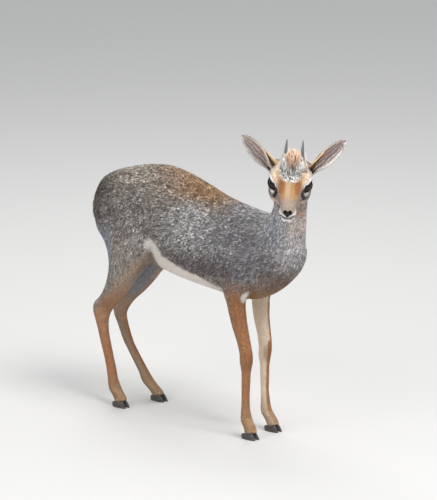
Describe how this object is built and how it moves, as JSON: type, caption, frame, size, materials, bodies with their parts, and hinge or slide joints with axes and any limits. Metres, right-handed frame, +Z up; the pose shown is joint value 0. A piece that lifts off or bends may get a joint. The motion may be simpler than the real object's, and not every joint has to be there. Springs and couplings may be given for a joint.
{
  "type": "dik-dik",
  "caption": "Dik-dik, a dwarf antelope, standing still with its head turned to its right, upright ears, short straight horns and a tufted crest.",
  "frame": {"origin": "on the floor, under the middle of the whole model", "axes": "+X the way the trunk faces, +Y the animal's left side, +Z up"},
  "size_m": [0.5414, 0.1661, 0.5302],
  "materials": {
    "body_coat": "short grizzled grey-brown hair",
    "face_coat": "short rufous hair",
    "leg_coat": "short smooth tan hair",
    "ear": "thin skin with fine hair",
    "eye": "wet, dark brown",
    "horn": "ringed dark keratin",
    "hoof": "worn black keratin"
  },
  "bodies": {
    "root": {"torso": "body_coat", "neck": "body_coat", "tail": "body_coat", "head": "face_coat", "ear_left": "ear", "ear_right": "ear", "eye_left": "eye", "eye_right": "eye", "horn_left": "horn", "horn_right": "horn", "foreleg_left": "leg_coat", "foreleg_right": "leg_coat", "hindleg_left": "leg_coat", "hindleg_right": "leg_coat", "hoof_fore_left_inner": "hoof", "hoof_fore_left_outer": "hoof", "hoof_fore_right_inner": "hoof", "hoof_fore_right_outer": "hoof", "hoof_hind_left_inner": "hoof", "hoof_hind_left_outer": "hoof", "hoof_hind_right_inner": "hoof", "hoof_hind_right_outer": "hoof"}
  },
  "joints": []
}
